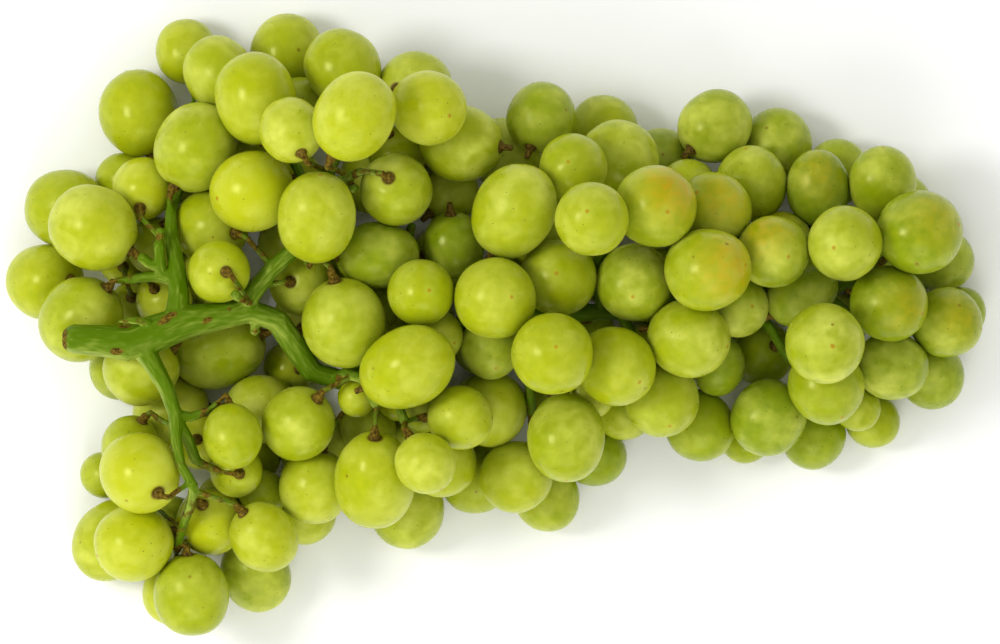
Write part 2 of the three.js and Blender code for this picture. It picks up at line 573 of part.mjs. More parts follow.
// A route from a point of the stem to a berry's stem end that passes between the others.
function stalkRoute(g, start, grapes, radius) {
  const end = g.middle.clone().addScaledVector(g.stem, g.halfLong + GAP);
  const approach = g.middle.clone().addScaledVector(g.stem, g.halfLong + APPROACH);
  const through = (g.route ?? []).map((point) => new THREE.Vector3(...point));
  const rough = new THREE.CatmullRomCurve3([start, ...through, approach], false, 'centripetal');
  const pieces = Math.max(2, Math.round(rough.getLength() / STALK_STEP));
  const points = rough.getSpacedPoints(pieces);
  for (let round = 0; round < ROUTE_ROUNDS; round += 1) {
    for (let i = 1; i < points.length - 1; i += 1) {
      points[i].lerp(points[i - 1].clone().add(points[i + 1]).multiplyScalar(0.5), ROUTE_EASE);
      for (const other of grapes) {
        const { out, depth } = wayOut(other, points[i], radius + GAP * 1.6);
        if (depth > 0) {
          points[i].addScaledVector(out, depth);
        }
      }
    }
  }
  return [...points, end];
}

// The bar's straight pieces must pass every berry, and may touch its own only at the end.
function routeIsClear(points, grapes, own, radius) {
  const curve = new THREE.CatmullRomCurve3(points, false, 'centripetal');
  const stations = curve.getSpacedPoints(points.length - 1);
  const tip = stations.at(-1);
  const samples = stations.slice(1).flatMap((to, i) => [0.25, 0.5, 0.75, 1].map((part) => (
    stations[i].clone().lerp(to, part))));
  return samples.every((point) => grapes.every((other) => (
    (other === own && point.distanceTo(tip) < KNOB_ROOM)
    || wayOut(other, point, radius + GAP * 0.6).depth < 0)));
}

function stalks(grapes, lengths) {
  const found = [];
  for (const g of grapes.filter((item) => item.route || (item.seen && item.home.x < OPEN_END))) {
    const pole = g.middle.clone().addScaledVector(g.stem, g.halfLong);
    const target = g.route ? new THREE.Vector3(...g.route[0]) : pole;
    const starts = lengths.map((length) => nearestOn(length, target))
      .filter((spot) => spot.distanceTo(target) < PEDICEL_LONGEST)
      .sort((p, q) => p.distanceTo(target) - q.distanceTo(target)).slice(0, PEDICEL_STARTS);
    for (const start of starts) {
      const points = stalkRoute(g, start, grapes, PEDICEL_RADIUS);
      if (routeIsClear(points, grapes, g, PEDICEL_RADIUS)) {
        found.push({ g, points });
        break;
      }
    }
  }
  return found;
}

// A stalk thickens into a knob where it meets its berry.
function withKnob(points) {
  const radii = points.map((point, i) => (i === points.length - 1 ? KNOB_RADIUS : PEDICEL_RADIUS));
  return points.map((point, i) => [...point, radii[i]]);
}

function stemSolid(found) {
  let solid = bentBar(RACHIS, RACHIS_SIDES, stepsOf(RACHIS, RACHIS_STEP));
  for (const route of Object.values(LATERALS)) {
    solid = solid.add(bentBar(route, LATERAL_SIDES, stepsOf(route, LATERAL_STEP)));
  }
  solid = solid.add(bentBar(BRACT, PEDICEL_SIDES, BRACT.length));
  for (const route of BARE_STALKS) {
    solid = solid.add(bentBar(withKnob(route), PEDICEL_SIDES, route.length - 1));
  }
  for (const { g, points } of found) {
    const sides = g.route ? PEDICEL_SIDES : PEDICEL_SIDES - 1;
    solid = solid.add(bentBar(withKnob(points.map((point) => point.toArray())), sides,
      points.length - 1));
  }
  return solid;
}

// ---------------------------------------------------------------- the bunch
const SKIN = new THREE.MeshStandardMaterial({ color: 0xa9b632, roughness: 0.38, metalness: 0 });
const STEM = new THREE.MeshStandardMaterial({ color: 0x6f9a2a, roughness: 0.6, metalness: 0 });

const lengths = [
  ...lengthsOf(RACHIS, stepsOf(RACHIS, RACHIS_STEP)),
  ...Object.values(LATERALS).flatMap((route) => lengthsOf(route, stepsOf(route, LATERAL_STEP))),
  ...BARE_STALKS.flatMap((route) => lengthsOf(withKnob(route), route.length - 1)),
];
const grapes = SEEN.map(grape);
pointStems(grapes, lengths);
settle(grapes, lengths, SETTLING_STEPS / 2);
fillUnderside(grapes, lengths);
pointStems(grapes, lengths);
settle(grapes, lengths, SETTLING_STEPS);

// Berries that bear on the surface sink by PRESS, and are cut level with it.
for (const g of grapes) {
  if (g.middle.z < standing(g) + BEARING) {
    const corners = new THREE.Box3().setFromObject(new THREE.Mesh(berryGeometry(g)), true);
    g.middle.z -= corners.min.z + PRESS;
  }
}
const below = new THREE.BoxGeometry(SURFACE_SIZE, SURFACE_SIZE, SURFACE_DEPTH);
below.translate(0, 0, -SURFACE_DEPTH / 2);
const surface = solidFrom(below);

const bunch = new THREE.Group();
const stem = new THREE.Mesh(geometryFrom(outerBody(stemSolid(stalks(grapes, lengths)))), STEM);
stem.name = 'stem';
bunch.add(stem);

clusters(grapes).forEach((group, index) => {
  let solid = group.members.map(berrySolid).reduce((all, next) => all.add(next));
  for (const { from, to } of group.joints) {
    solid = solid.add(contact(from, to));
  }
  const cluster = new THREE.Mesh(geometryFrom(solid.subtract(surface)), SKIN.clone());
  cluster.name = `grapes_${String(index + 1).padStart(2, '0')}`;
  bunch.add(cluster);
});

const extent = new THREE.Box3().setFromObject(bunch, true);
const centre = extent.getCenter(new THREE.Vector3());
bunch.children.forEach((piece) => piece.geometry.translate(-centre.x, -centre.y, 0));

export default bunch;
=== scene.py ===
# %% [markdown]
# # A bunch of white table grapes
# The bunch lies on its side, as it was put down after it was cut. The CAD frame holds a coarse,
# faceted solid for every group of berries that press on each other, and one for the whole stem.
# Each faceted solid is the right size and in the right place, so this script reads the berries
# from it, builds them again as round fruit, and turns the stem into a smooth, woody skeleton.

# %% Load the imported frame
import math
import random

import bmesh
import bpy
from mathutils import Matrix, Vector, noise
from mathutils.bvhtree import BVHTree


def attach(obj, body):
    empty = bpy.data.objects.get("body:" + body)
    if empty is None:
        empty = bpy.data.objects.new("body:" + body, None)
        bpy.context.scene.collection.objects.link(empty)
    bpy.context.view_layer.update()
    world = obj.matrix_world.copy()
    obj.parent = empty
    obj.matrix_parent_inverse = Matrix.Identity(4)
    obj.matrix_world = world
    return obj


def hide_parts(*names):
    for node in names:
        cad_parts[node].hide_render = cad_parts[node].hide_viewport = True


MM = 0.001
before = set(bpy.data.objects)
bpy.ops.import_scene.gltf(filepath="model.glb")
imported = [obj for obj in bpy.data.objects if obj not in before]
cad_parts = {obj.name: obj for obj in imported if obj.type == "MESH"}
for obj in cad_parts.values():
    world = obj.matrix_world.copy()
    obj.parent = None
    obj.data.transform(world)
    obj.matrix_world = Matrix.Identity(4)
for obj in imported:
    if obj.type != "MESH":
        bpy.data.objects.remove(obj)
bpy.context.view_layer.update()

# %% [markdown]
# ## Four small helpers
# Colours are easiest to pick as sRGB hex values, but the renderer works in linear light, so one
# function turns one into the other. Adding a shader node always takes the same steps: make it,
# set it up, and wire it in. One function does all three, and another starts a material. The
# last one keeps a value between nothing and whole.

# %% Helpers for colours, nodes and shares
def linear(hex_colour):
    """An sRGB hex colour as linear RGBA."""
    channels = [int(hex_colour[i:i + 2], 16) / 255 for i in (1, 3, 5)]
    return tuple(c / 12.92 if c <= 0.04045 else ((c + 0.055) / 1.055) ** 2.4 for c in channels) + (1,)


def add(tree, kind, settings=None, inputs=None, links=None):
    """Adds a node: settings are its properties, inputs its socket values, links its incoming wires."""
    node = tree.nodes.new(kind)
    for name, value in (settings or {}).items():
        setattr(node, name, value)
    for name, value in (inputs or {}).items():
        node.inputs[name].default_value = value
    for name, socket in (links or {}).items():
        tree.links.new(socket, node.inputs[name])
    return node


def new_material(name):
    """A material with an empty node tree, and its Principled shader."""
    material = bpy.data.materials.new(name)
    material.use_nodes = True
    tree = material.node_tree
    tree.nodes.clear()
    shader = add(tree, "ShaderNodeBsdfPrincipled")
    add(tree, "ShaderNodeOutputMaterial", links={"Surface": shader.outputs["BSDF"]})
    return material, tree, shader


def share(value):
    """The value, kept between 0 and 1."""
    return min(1, max(0, value))


print("Pure white is", [round(c, 2) for c in linear("#ffffff")])

# %% [markdown]
# ## Reading the berries
# The berries' places could be written out again here, but then they would have to be kept in
# step with the CAD, so they are read from its solids. A faceted berry is eight-sided, and its
# facets meet in a point at each end: nowhere else do eight edges meet. So once the flat triangles
# are joined back into facets, every corner with eight edges is the end of a berry, and the edges
# that leave it say how wide and long it is. Where a neighbour cuts an edge short its direction
# still counts, and the longest edge is whole.

# %% Find the middle, axis and size of every berry
SIDES = 8
SLOPE = math.sin(math.radians(45))  # the first ring of facets is 45 degrees from the end
WELD = 0.002 * MM
FLAT_ANGLE = math.radians(1)  # triangles that bend less than this are one facet
SAME_BERRY = 2 * MM  # two ends whose middles are closer than this belong to one berry


def berries_of(node):
    """The berries in one CAD node: middle, axis, half width and half length, in metres."""
    bm = bmesh.new()
    bm.from_mesh(node.data)
    bmesh.ops.remove_doubles(bm, verts=bm.verts, dist=WELD)
    bmesh.ops.dissolve_limit(bm, angle_limit=FLAT_ANGLE, verts=bm.verts, edges=bm.edges)
    found = []
    for corner in bm.verts:
        spokes = [e.other_vert(corner).co - corner.co for e in corner.link_edges]
        if len(spokes) != SIDES:
            continue
        inward = sum((s.normalized() for s in spokes), Vector()).normalized()
        longest = max(spokes, key=lambda s: s.length)
        depth = longest.dot(inward)
        around = (longest - inward * depth).length
        half, half_long = around / SLOPE, depth / (1 - SLOPE)
        middle = corner.co + inward * half_long
        if all((middle - other["middle"]).length > SAME_BERRY for other in found):
            found.append({"middle": middle, "axis": -inward, "half": half, "half_long": half_long})
    bm.free()
    return found


groups = {name: berries_of(node) for name, node in sorted(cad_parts.items()) if name != "stem"}
berries = [b for members in groups.values() for b in members]
print(len(berries), "berries in", len(groups), "groups")
print("half widths in mm:", round(min(b["half"] for b in berries) / MM, 2),
      "to", round(max(b["half"] for b in berries) / MM, 2))

# %% [markdown]
# ## Which end is the stem end
# A grape hangs from its stalk, and the scar of the flower is at its other end. The two ends of a
# faceted berry are alike, but the one that is nearer to the stem is the stem end, and a search
# tree of the stem's faces finds the distance quickly.

# %% Point every berry's axis at the stem
TOUCHING = 1.2 * MM  # a berry whose end is this near to the stem has a stalk in the CAD

stem_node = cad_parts["stem"]
stem_shape = bmesh.new()
stem_shape.from_mesh(stem_node.data)
stem_tree = BVHTree.FromBMesh(stem_shape)
stem_shape.free()

for b in berries:
    ends = [b["middle"] + b["axis"] * b["half_long"] * s for s in (1, -1)]
    away = [stem_tree.find_nearest(end)[3] for end in ends]
    if away[1] < away[0]:
        b["axis"] = -b["axis"]
    b["stalked"] = min(away) < TOUCHING
    b["stem_end"] = b["middle"] + b["axis"] * b["half_long"]
print(sum(b["stalked"] for b in berries), "berries sit on a stalk that shows")

# %% [markdown]
# ## One ripe berry
# A grape is a little fuller than an ellipse at its shoulders, with a shallow dimple where the
# stalk goes in and a tiny nib where the flower was. A stretched sphere has no dimple, and carving
# one into 161 spheres is slow. Turning gives both ends at once: half the outline is drawn from
# the blossom end to the stem end, and spun about its axis. The berry is made once, one unit wide
# each way, and every other berry starts as a copy of it. Merging the points on the axis leaves
# the edges and faces in an order of chance, so they are sorted, and each run gives the same mesh.

# %% Spin the berry that all others start from
OUTLINE_POINTS = 25
BERRY_STEPS = 44
FULLNESS = 0.94  # under 1 fills out the shoulders
DIMPLE = 0.06
DIMPLE_WIDTH = 0.17
NIB = 0.022
NIB_WIDTH = 0.05
POLE_WELD = 1e-5  # joins the points that spinning leaves on the axis


def place_in_order(part, base):
    """One number for an edge or a face, from the numbers of its corners."""
    number = 0
    for corner in sorted(v.index for v in part.verts):
        number = number * base + corner + 1
    return number


def turned(name, outline, steps):
    """A closed mesh turned about Z from an outline of (across, along) points, bottom to top."""
    bm = bmesh.new()
    points = [bm.verts.new((across, 0, along)) for across, along in outline]
    for low, high in zip(points, points[1:]):
        bm.edges.new((low, high))
    bmesh.ops.spin(bm, geom=bm.verts[:] + bm.edges[:], cent=(0, 0, 0), axis=(0, 0, 1),
                   angle=math.tau, steps=steps, use_merge=True)
    bmesh.ops.remove_doubles(bm, verts=bm.verts, dist=POLE_WELD)
    bmesh.ops.recalc_face_normals(bm, faces=bm.faces)
    bm.verts.index_update()
    base = len(bm.verts) + 1
    bm.edges.sort(key=lambda edge: place_in_order(edge, base))
    bm.faces.sort(key=lambda face: place_in_order(face, base))
    mesh = bpy.data.meshes.new(name)
    bm.to_mesh(mesh)
    bm.free()
    print(name, "has", len(mesh.vertices), "points and", len(mesh.polygons), "faces")
    return mesh


def berry_outline():
    """Half a berry's outline, radius 1 and half length 1, blossom end first."""
    outline = []
    for i in range(OUTLINE_POINTS):
        angle = math.pi * (i / (OUTLINE_POINTS - 1) - 0.5)
        across = max(math.cos(angle), 0) ** FULLNESS
        along = math.sin(angle)
        if along > 0:
            along -= DIMPLE * math.exp(-(across / DIMPLE_WIDTH) ** 2)
        else:
            along -= NIB * math.exp(-(across / NIB_WIDTH) ** 2)
        outline.append((across, along))
    return outline


pattern_berry = turned("pattern_berry", berry_outline(), BERRY_STEPS)

# %% [markdown]
# ## The end of the stalk
# Every berry is held by a short stalk with a swollen, corky end that sits in the dimple. Inside
# the bunch nobody sees where the stalk goes, so a whole stalk there would be wasted: a hidden one
# is a stub that stops before it meets the next berry. It is round, so it is turned as well, in
# millimetres, and its tip is moved out afterwards.

# %% Turn the stub
STUB_OUTLINE = [(0, -0.9), (1.1, -0.9), (1.5, 0.1), (1.4, 0.45), (0.9, 0.8), (0.7, 1.2), (0, 1.2)]
STUB_TIP = 1.1  # outline points above this height are the tip
STUB_STEPS = 10
pattern_stub = turned("pattern_stub", STUB_OUTLINE, STUB_STEPS)

# %% [markdown]
# ## Berries that press on each other
# Ripe berries are firm but not hard: where two of them crowd each other they share a flat
# contact, and the lowest ones stand on flat feet. A soft-body simulation would find the contacts
# too, but the places are already known, and a plane is enough. The frame leaves a thin gap
# between the solids, so the berries are grown by a little more than that gap, and two that then
# overlap are both flattened at the plane half way through the overlap.

# %% Grow the berries, and find their neighbours
GROWTH = 0.3 * MM


def reach(b, direction):
    """How far a berry's skin is from its middle in a direction."""
    along = direction.dot(b["axis"])
    across = math.sqrt(max(0, 1 - along * along))
    return 1 / math.hypot(along / b["half_long"], across / b["half"])


for b in berries:
    b["half"] += GROWTH
    b["half_long"] += GROWTH

contacts = 0
for b in berries:
    b["flats"] = []
    for other in berries:
        between = other["middle"] - b["middle"]
        apart = between.length
        if other is b or apart > b["half_long"] + other["half_long"]:
            continue
        direction = between.normalized()
        overlap = reach(b, direction) + reach(other, -direction) - apart
        if overlap > 0:
            b["flats"].append((direction, reach(b, direction) - overlap / 2))
            contacts += 1
print(contacts // 2, "pairs of berries touch")

# %% [markdown]
# ## Every berry is a little different
# No two berries in a bunch are the same. Some are riper and more golden, some stay grass green,
# some carry more of the pale wax that grapes grow, and a few that the sun reached are amber on
# one side. A material for each would be a lot of work to keep alike, so these traits are kept
# with the mesh as attributes, and one skin material serves all the berries. Most of it is left
# to chance, and the berries that plainly differ are listed by their place, in millimetres from
# the middle of the bunch.

# %% List the berries that stand out
# x, y, how amber the berry is, and which way its amber side looks
SUNNED = [(40, 29, 1.0, 0.5, 0.5), (52.5, 14, 0.85, 0.6, 0.1), (55, 29, 0.6, 0.3, 0.3),
          (69, 18.5, 0.6, -0.3, 0.6), (81, 34, 0.4, 0, 0.4), (106, 23.5, 0.3, 0.4, 0.4),
          (98, 5.5, 0.4, 0.5, 0), (112.5, 0.5, 0.4, 0.4, 0.2)]
# x, y, and how much riper the berry is than its neighbours, or less ripe where it is below 0
TINTED = [(-0.5, 7, 0.4), (-17, 55, 0.1), (-36, 52, 0.1), (-45, 27.5, 0.15), (-8.5, -22.5, 0.3),
          (-61, 34, 0.25), (-25, 34, -0.3), (-11, 21, -0.35), (-28, 17.5, -0.3), (-2, -6, -0.4),
          (33, 11, -0.35), (80, 35, -0.4), (76, 9, -0.3), (55, -11, -0.3), (68, -22, -0.2),
          (-70, -7.5, -0.3), (-49, 11, -0.2)]
SPOT = 5.5 * MM  # how far a berry's middle may be from its place in a list
SUNNED_ABOVE = 20 * MM  # the berries under these heights are hidden ones
TINTED_ABOVE = 10 * MM
print(len(SUNNED), "sunned places and", len(TINTED), "tinted places")

# %% Give the berries their traits
MID_Z = 0.035
RIPE_MEAN = 0.58
RIPE_TO_STEM = 2.2  # per metre: the shoulders of the bunch ripen before its tip
# painted shade: ripeness falls with depth in the bunch, so the low berries in its shade come out
# greener and darker
PAINTED_SHADE_BY_HEIGHT = 5  # per metre
RIPE_VARIES = 0.13
WAX_MEAN = 0.7
WAX_VARIES = 0.18
LEAST_WAX = 0.2
SUN_HEIGHT = 0.8  # the amber side always looks up a little too
NOISE_REACH = 50  # far enough apart for every berry to have its own piece of the noise
rng = random.Random(29)


def give_traits(b):
    """Adds a berry's ripeness, wax, amber side, turn and share of the noise."""
    x, y, z = b["middle"]
    # the height term is painted shade: it makes the low berries, which the bunch shades, greener
    b["ripe_and_shade"] = RIPE_MEAN - RIPE_TO_STEM * x + PAINTED_SHADE_BY_HEIGHT * (z - MID_Z) + rng.gauss(0, RIPE_VARIES)
    b["wax"] = min(1, max(LEAST_WAX, WAX_MEAN + rng.gauss(0, WAX_VARIES)))
    b["sunned"], b["sun_side"] = 0, Vector((0, 0, 1))
    for sun_x, sun_y, strength, side_x, side_y in SUNNED:
        if math.hypot(x - sun_x * MM, y - sun_y * MM) < SPOT and z > SUNNED_ABOVE:
            b["sunned"] = strength
            b["sun_side"] = Vector((side_x, side_y, SUN_HEIGHT)).normalized()
    for tint_x, tint_y, riper in TINTED:
        if math.hypot(x - tint_x * MM, y - tint_y * MM) < SPOT and z > TINTED_ABOVE:
            b["ripe_and_shade"] += riper
    b["turn"] = rng.uniform(0, math.tau)
    b["wobble"] = Vector([rng.uniform(-NOISE_REACH, NOISE_REACH) for _ in range(3)])


for b in berries:
    give_traits(b)
print("ripeness from", round(min(b["ripe_and_shade"] for b in berries), 2),
      "to", round(max(b["ripe_and_shade"] for b in berries), 2))
print(sum(b["sunned"] > 0 for b in berries), "berries have an amber side")

# %% [markdown]
# ## Putting a berry and its stub in place
# A real berry is never quite round. Displacing it with a modifier would lose its flat contacts,
# so each point of a copied berry is moved in this order: a slow noise swells it unevenly, the
# flats of its neighbours cut it, and the floor stops it. The stub is added to the same mesh,
# because it grew on the berry, and takes the second material slot.

# %% Shape one berry in its place
UNEVEN = 0.028  # how far the skin strays from a true round, as a share of its size
UNEVEN_WAVES = 1.3  # waves of the noise in half a berry
KEEP_BULGE = 0.12  # share of the overlap that stays as a soft bulge
AMBER_EDGE = 3  # a higher power keeps the amber nearer to the middle of its side


def facing(b):
    """The turn that brings the Z axis of a pattern onto the berry's own axis."""
    return b["axis"].to_track_quat("Z", "Y").to_matrix()


def grow_berry(bm, layers, b):
    """Adds a berry to the mesh, with its flats, its uneven skin and its traits."""
    first = len(bm.verts)
    bm.from_mesh(pattern_berry)
    bm.verts.ensure_lookup_table()
    turn = facing(b) @ Matrix.Rotation(b["turn"], 3, "Z")
    for v in bm.verts[first:]:
        unit = v.co.copy()
        swell = 1 + UNEVEN * noise.noise(unit * UNEVEN_WAVES + b["wobble"])
        place = turn @ Vector((unit.x * b["half"], unit.y * b["half"], unit.z * b["half_long"]))
        place *= swell
        for direction, flat in b["flats"]:
            beyond = place.dot(direction) - flat
            if beyond > 0:
                place -= direction * beyond * (1 - KEEP_BULGE)
        out = place.normalized()
        place += b["middle"]
        v.co = (place.x, place.y, max(place.z, 0))
        v[layers["own"]] = unit
        v[layers["ripe_and_shade"]] = b["ripe_and_shade"]
        v[layers["wax"]] = b["wax"]
        v[layers["amber"]] = b["sunned"] * max(0, out.dot(b["sun_side"])) ** AMBER_EDGE


print("A berry strays", round(UNEVEN * max(b["half"] for b in berries) / MM, 2), "mm at most")

# %% Add a stub to a berry
LONGEST_STUB = 2  # mm
STUB_CLEAR = 1.5  # mm that has to be free before the stub gets longer
FLOOR_CLEAR = 1 * MM
CORK_SLOT = 1  # slot 0 is the skin


def room_above(b):
    """How many millimetres are free above a berry's stem end."""
    for step in range(LONGEST_STUB):
        tip = b["stem_end"] + b["axis"] * (step + STUB_CLEAR) * MM
        if tip.z < FLOOR_CLEAR:
            return step
        for other in berries:
            away = tip - other["middle"]
            if other is not b and away.length < reach(other, away.normalized()):
                return step
    return LONGEST_STUB


def grow_stub(bm, b):
    """Adds the corky end of the stalk, as long as there is room for."""
    first_vert, first_face = len(bm.verts), len(bm.faces)
    bm.from_mesh(pattern_stub)
    bm.verts.ensure_lookup_table()
    bm.faces.ensure_lookup_table()
    tip = STUB_TIP if b["stalked"] else STUB_TIP + room_above(b)
    for v in bm.verts[first_vert:]:
        height = tip if v.co.z > STUB_TIP else v.co.z
        v.co = facing(b) @ Vector((v.co.x, v.co.y, height)) * MM + b["stem_end"]
    for face in bm.faces[first_face:]:
        face.material_index = CORK_SLOT


print(sum(not b["stalked"] and room_above(b) == LONGEST_STUB for b in berries), "long stubs")

# %% [markdown]
# ## Grape skin
# The skin is a thin, clear hide over pale flesh, coated with bloom, a dull white wax that the
# berry grew. Where the wax is whole the berry looks pale and matt, and where fingers or a
# neighbour rubbed it off the skin is a clear, glossy yellow-green. The patches could be painted
# berry by berry, but noise that runs through the whole bunch makes each one different without
# that. It reads Object coordinates, so it is fixed to the fruit. All the pattern sizes below are
# in millimetres.

# %% Mix the colour of the flesh
LEAF_GREEN = "#758b00"
RIPE_YELLOW = "#b3ba00"
MOTTLE = 2.2
MOTTLE_STRENGTH = 0.5


def per_metre(size_mm):
    """The scale of a pattern whose features are size_mm across, in a scene that is in metres."""
    return 1000 / size_mm


skin, tree, shader = new_material("grape_skin_with_bloom")
place = add(tree, "ShaderNodeTexCoord").outputs["Object"]
own = add(tree, "ShaderNodeAttribute", {"attribute_name": "own"}).outputs["Vector"]
traits = {name: add(tree, "ShaderNodeAttribute", {"attribute_name": name}).outputs["Fac"]
          for name in ("ripe_and_shade", "wax", "amber")}

mottle = add(tree, "ShaderNodeTexNoise", inputs={"Scale": per_metre(MOTTLE), "Detail": 3},
             links={"Vector": place}).outputs["Fac"]
ripeness_and_shade = add(tree, "ShaderNodeMath", {"operation": "MULTIPLY_ADD"}, {1: MOTTLE_STRENGTH},
               {0: mottle, 2: traits["ripe_and_shade"]}).outputs[0]
ripeness_and_shade = add(tree, "ShaderNodeMath", {"operation": "SUBTRACT", "use_clamp": True},
               {1: MOTTLE_STRENGTH / 2}, {0: ripeness_and_shade}).outputs[0]
# the ripeness mixes real ripeness with painted shade, so low berries come out greener and darker
flesh = add(tree, "ShaderNodeMix", {"data_type": "RGBA"},
            {6: linear(LEAF_GREEN), 7: linear(RIPE_YELLOW)}, {0: ripeness_and_shade}).outputs[2]
print("The mottles are about", MOTTLE, "mm across")

# %% [markdown]
# Bloom is thick in some places and thin in others, and it is rubbed away where the berry was
# touched. One noise makes the cover, another, a little twisted, makes the rubs, and they are
# multiplied, so that a rub shows through any cover. The fine mottling makes it look like dust.
# Where the sun reached a berry its skin turned amber, and that is mottled too.

# %% Work out where the bloom and the amber lie
WAX_PATCH = 10.0
RUB_PATCH = 6.0

wax_noise = add(tree, "ShaderNodeTexNoise",
                inputs={"Scale": per_metre(WAX_PATCH), "Detail": 2.5, "Roughness": 0.55},
                links={"Vector": place}).outputs["Fac"]
wax_cover = add(tree, "ShaderNodeMapRange", {"interpolation_type": "SMOOTHSTEP"},
                {"From Min": 0.33, "From Max": 0.78, "To Min": 0.14}, {"Value": wax_noise}).outputs[0]
rub_noise = add(tree, "ShaderNodeTexNoise",
                inputs={"Scale": per_metre(RUB_PATCH), "Detail": 1.5, "Distortion": 0.4},
                links={"Vector": place}).outputs["Fac"]
unrubbed = add(tree, "ShaderNodeMapRange", {"interpolation_type": "SMOOTHSTEP"},
               {"From Min": 0.3, "From Max": 0.54, "To Min": 0.4}, {"Value": rub_noise}).outputs[0]
wax = add(tree, "ShaderNodeMath", {"operation": "MULTIPLY"}, {},
          {0: wax_cover, 1: unrubbed}).outputs[0]
wax = add(tree, "ShaderNodeMath", {"operation": "MULTIPLY"}, {}, {0: wax, 1: traits["wax"]}).outputs[0]
dusty = add(tree, "ShaderNodeMapRange",
            inputs={"From Min": 0.35, "From Max": 0.65, "To Min": 0.7, "To Max": 1},
            links={"Value": mottle}).outputs[0]
wax_tint = add(tree, "ShaderNodeMath", {"operation": "MULTIPLY"}, {}, {0: wax, 1: dusty}).outputs[0]

sun_mottle = add(tree, "ShaderNodeMapRange",
                 inputs={"From Min": 0.32, "From Max": 0.68, "To Min": 0.3, "To Max": 1},
                 links={"Value": mottle}).outputs[0]
sun_amount = add(tree, "ShaderNodeMath", {"operation": "MULTIPLY", "use_clamp": True}, {},
                 {0: traits["amber"], 1: sun_mottle}).outputs[0]
print("The wax patches are about", WAX_PATCH, "mm across and the rubs", RUB_PATCH, "mm")

# %% [markdown]
# Grapes carry a few tiny dark pores, and rust marks where a leaf or a stalk chafed them. A
# Voronoi pattern scatters points through the whole berry, and only the points that happen to lie
# close to its skin show, which keeps them rare. The mottling makes the rust marks ragged.

# %% Scatter the pores and the rust marks
PORE_SPACING = 2.6
PORE_RADIUS = 0.22
RUST_SPACING = 9.0
RUST_RADIUS = 0.6
RUST_RAGGED = 0.12

spots = add(tree, "ShaderNodeTexVoronoi", inputs={"Scale": per_metre(PORE_SPACING)},
            links={"Vector": place}).outputs["Distance"]
pore_edge = PORE_RADIUS / PORE_SPACING
pores = add(tree, "ShaderNodeMapRange", {"interpolation_type": "SMOOTHSTEP"},
            {"From Min": pore_edge, "From Max": 0.4 * pore_edge, "To Max": 0.8},
            {"Value": spots}).outputs[0]

rusty = add(tree, "ShaderNodeTexVoronoi", inputs={"Scale": per_metre(RUST_SPACING)},
            links={"Vector": place}).outputs["Distance"]
rusty = add(tree, "ShaderNodeMath", {"operation": "MULTIPLY_ADD"}, {1: RUST_RAGGED},
            {0: mottle, 2: rusty}).outputs[0]
rust_edge = RUST_RADIUS / RUST_SPACING
rusty = add(tree, "ShaderNodeMapRange", {"interpolation_type": "SMOOTHSTEP"},
            {"From Min": RUST_RAGGED / 2 + rust_edge, "From Max": RUST_RAGGED / 2 + 0.3 * rust_edge,
             "To Max": 0.75}, {"Value": rusty}).outputs[0]
print("Pores are", 2 * PORE_RADIUS, "mm wide and rust marks", 2 * RUST_RADIUS, "mm")

# %% [markdown]
# The scar of the flower, the faint wax halo round it and the corky ring round the stalk sit on
# the berry's axis. They are placed with the berry's own coordinates, an attribute that keeps
# where each point was on the pattern berry: Z is -1 at its blossom end and 1 at its stem end.

# %% Mark the two ends of the berry
SCAR_RAGGED = 0.08

flat = add(tree, "ShaderNodeVectorMath", {"operation": "MULTIPLY"}, {1: (1, 1, 0)}, {0: own}).outputs[0]
from_axis = add(tree, "ShaderNodeVectorMath", {"operation": "LENGTH"}, {}, {0: flat}).outputs["Value"]
height = add(tree, "ShaderNodeSeparateXYZ", links={0: own}).outputs["Z"]
blossom_end = add(tree, "ShaderNodeMath", {"operation": "LESS_THAN"}, {1: 0}, {0: height}).outputs[0]
stem_end = add(tree, "ShaderNodeMath", {"operation": "GREATER_THAN"}, {1: 0}, {0: height}).outputs[0]

halo = add(tree, "ShaderNodeMapRange", {"interpolation_type": "SMOOTHSTEP"},
           {"From Min": 0.3, "From Max": 0.05, "To Max": 0.15}, {"Value": from_axis}).outputs[0]
halo = add(tree, "ShaderNodeMath", {"operation": "MULTIPLY"}, {}, {0: halo, 1: blossom_end}).outputs[0]

ragged = add(tree, "ShaderNodeMath", {"operation": "MULTIPLY_ADD"}, {1: SCAR_RAGGED},
             {0: mottle, 2: from_axis}).outputs[0]
scar = add(tree, "ShaderNodeMapRange", {"interpolation_type": "SMOOTHSTEP"},
           {"From Min": 0.12, "From Max": 0.06, "To Max": 0.85}, {"Value": ragged}).outputs[0]
scar = add(tree, "ShaderNodeMath", {"operation": "MULTIPLY"}, {}, {0: scar, 1: blossom_end}).outputs[0]

ring = add(tree, "ShaderNodeMapRange", {"interpolation_type": "SMOOTHSTEP"},
           {"From Min": 0.24, "From Max": 0.15, "To Max": 0.9}, {"Value": from_axis}).outputs[0]
ring = add(tree, "ShaderNodeMath", {"operation": "MULTIPLY"}, {}, {0: ring, 1: stem_end}).outputs[0]
print("The two ends of the berry have a halo, a scar and a ring")

# %% [markdown]
# The marks are now laid on the flesh one after another, as they came on the real berry: wax and
# sun first, the dark and corky marks on top of them.

# %% Lay the marks over the flesh
BLOOM = "#ced45c"
AMBER = "#bc9c00"
PORE_BROWN = "#3a2a08"
RUST = "#7c5410"
SCAR = "#a87c10"
CORK = "#6a4c1a"

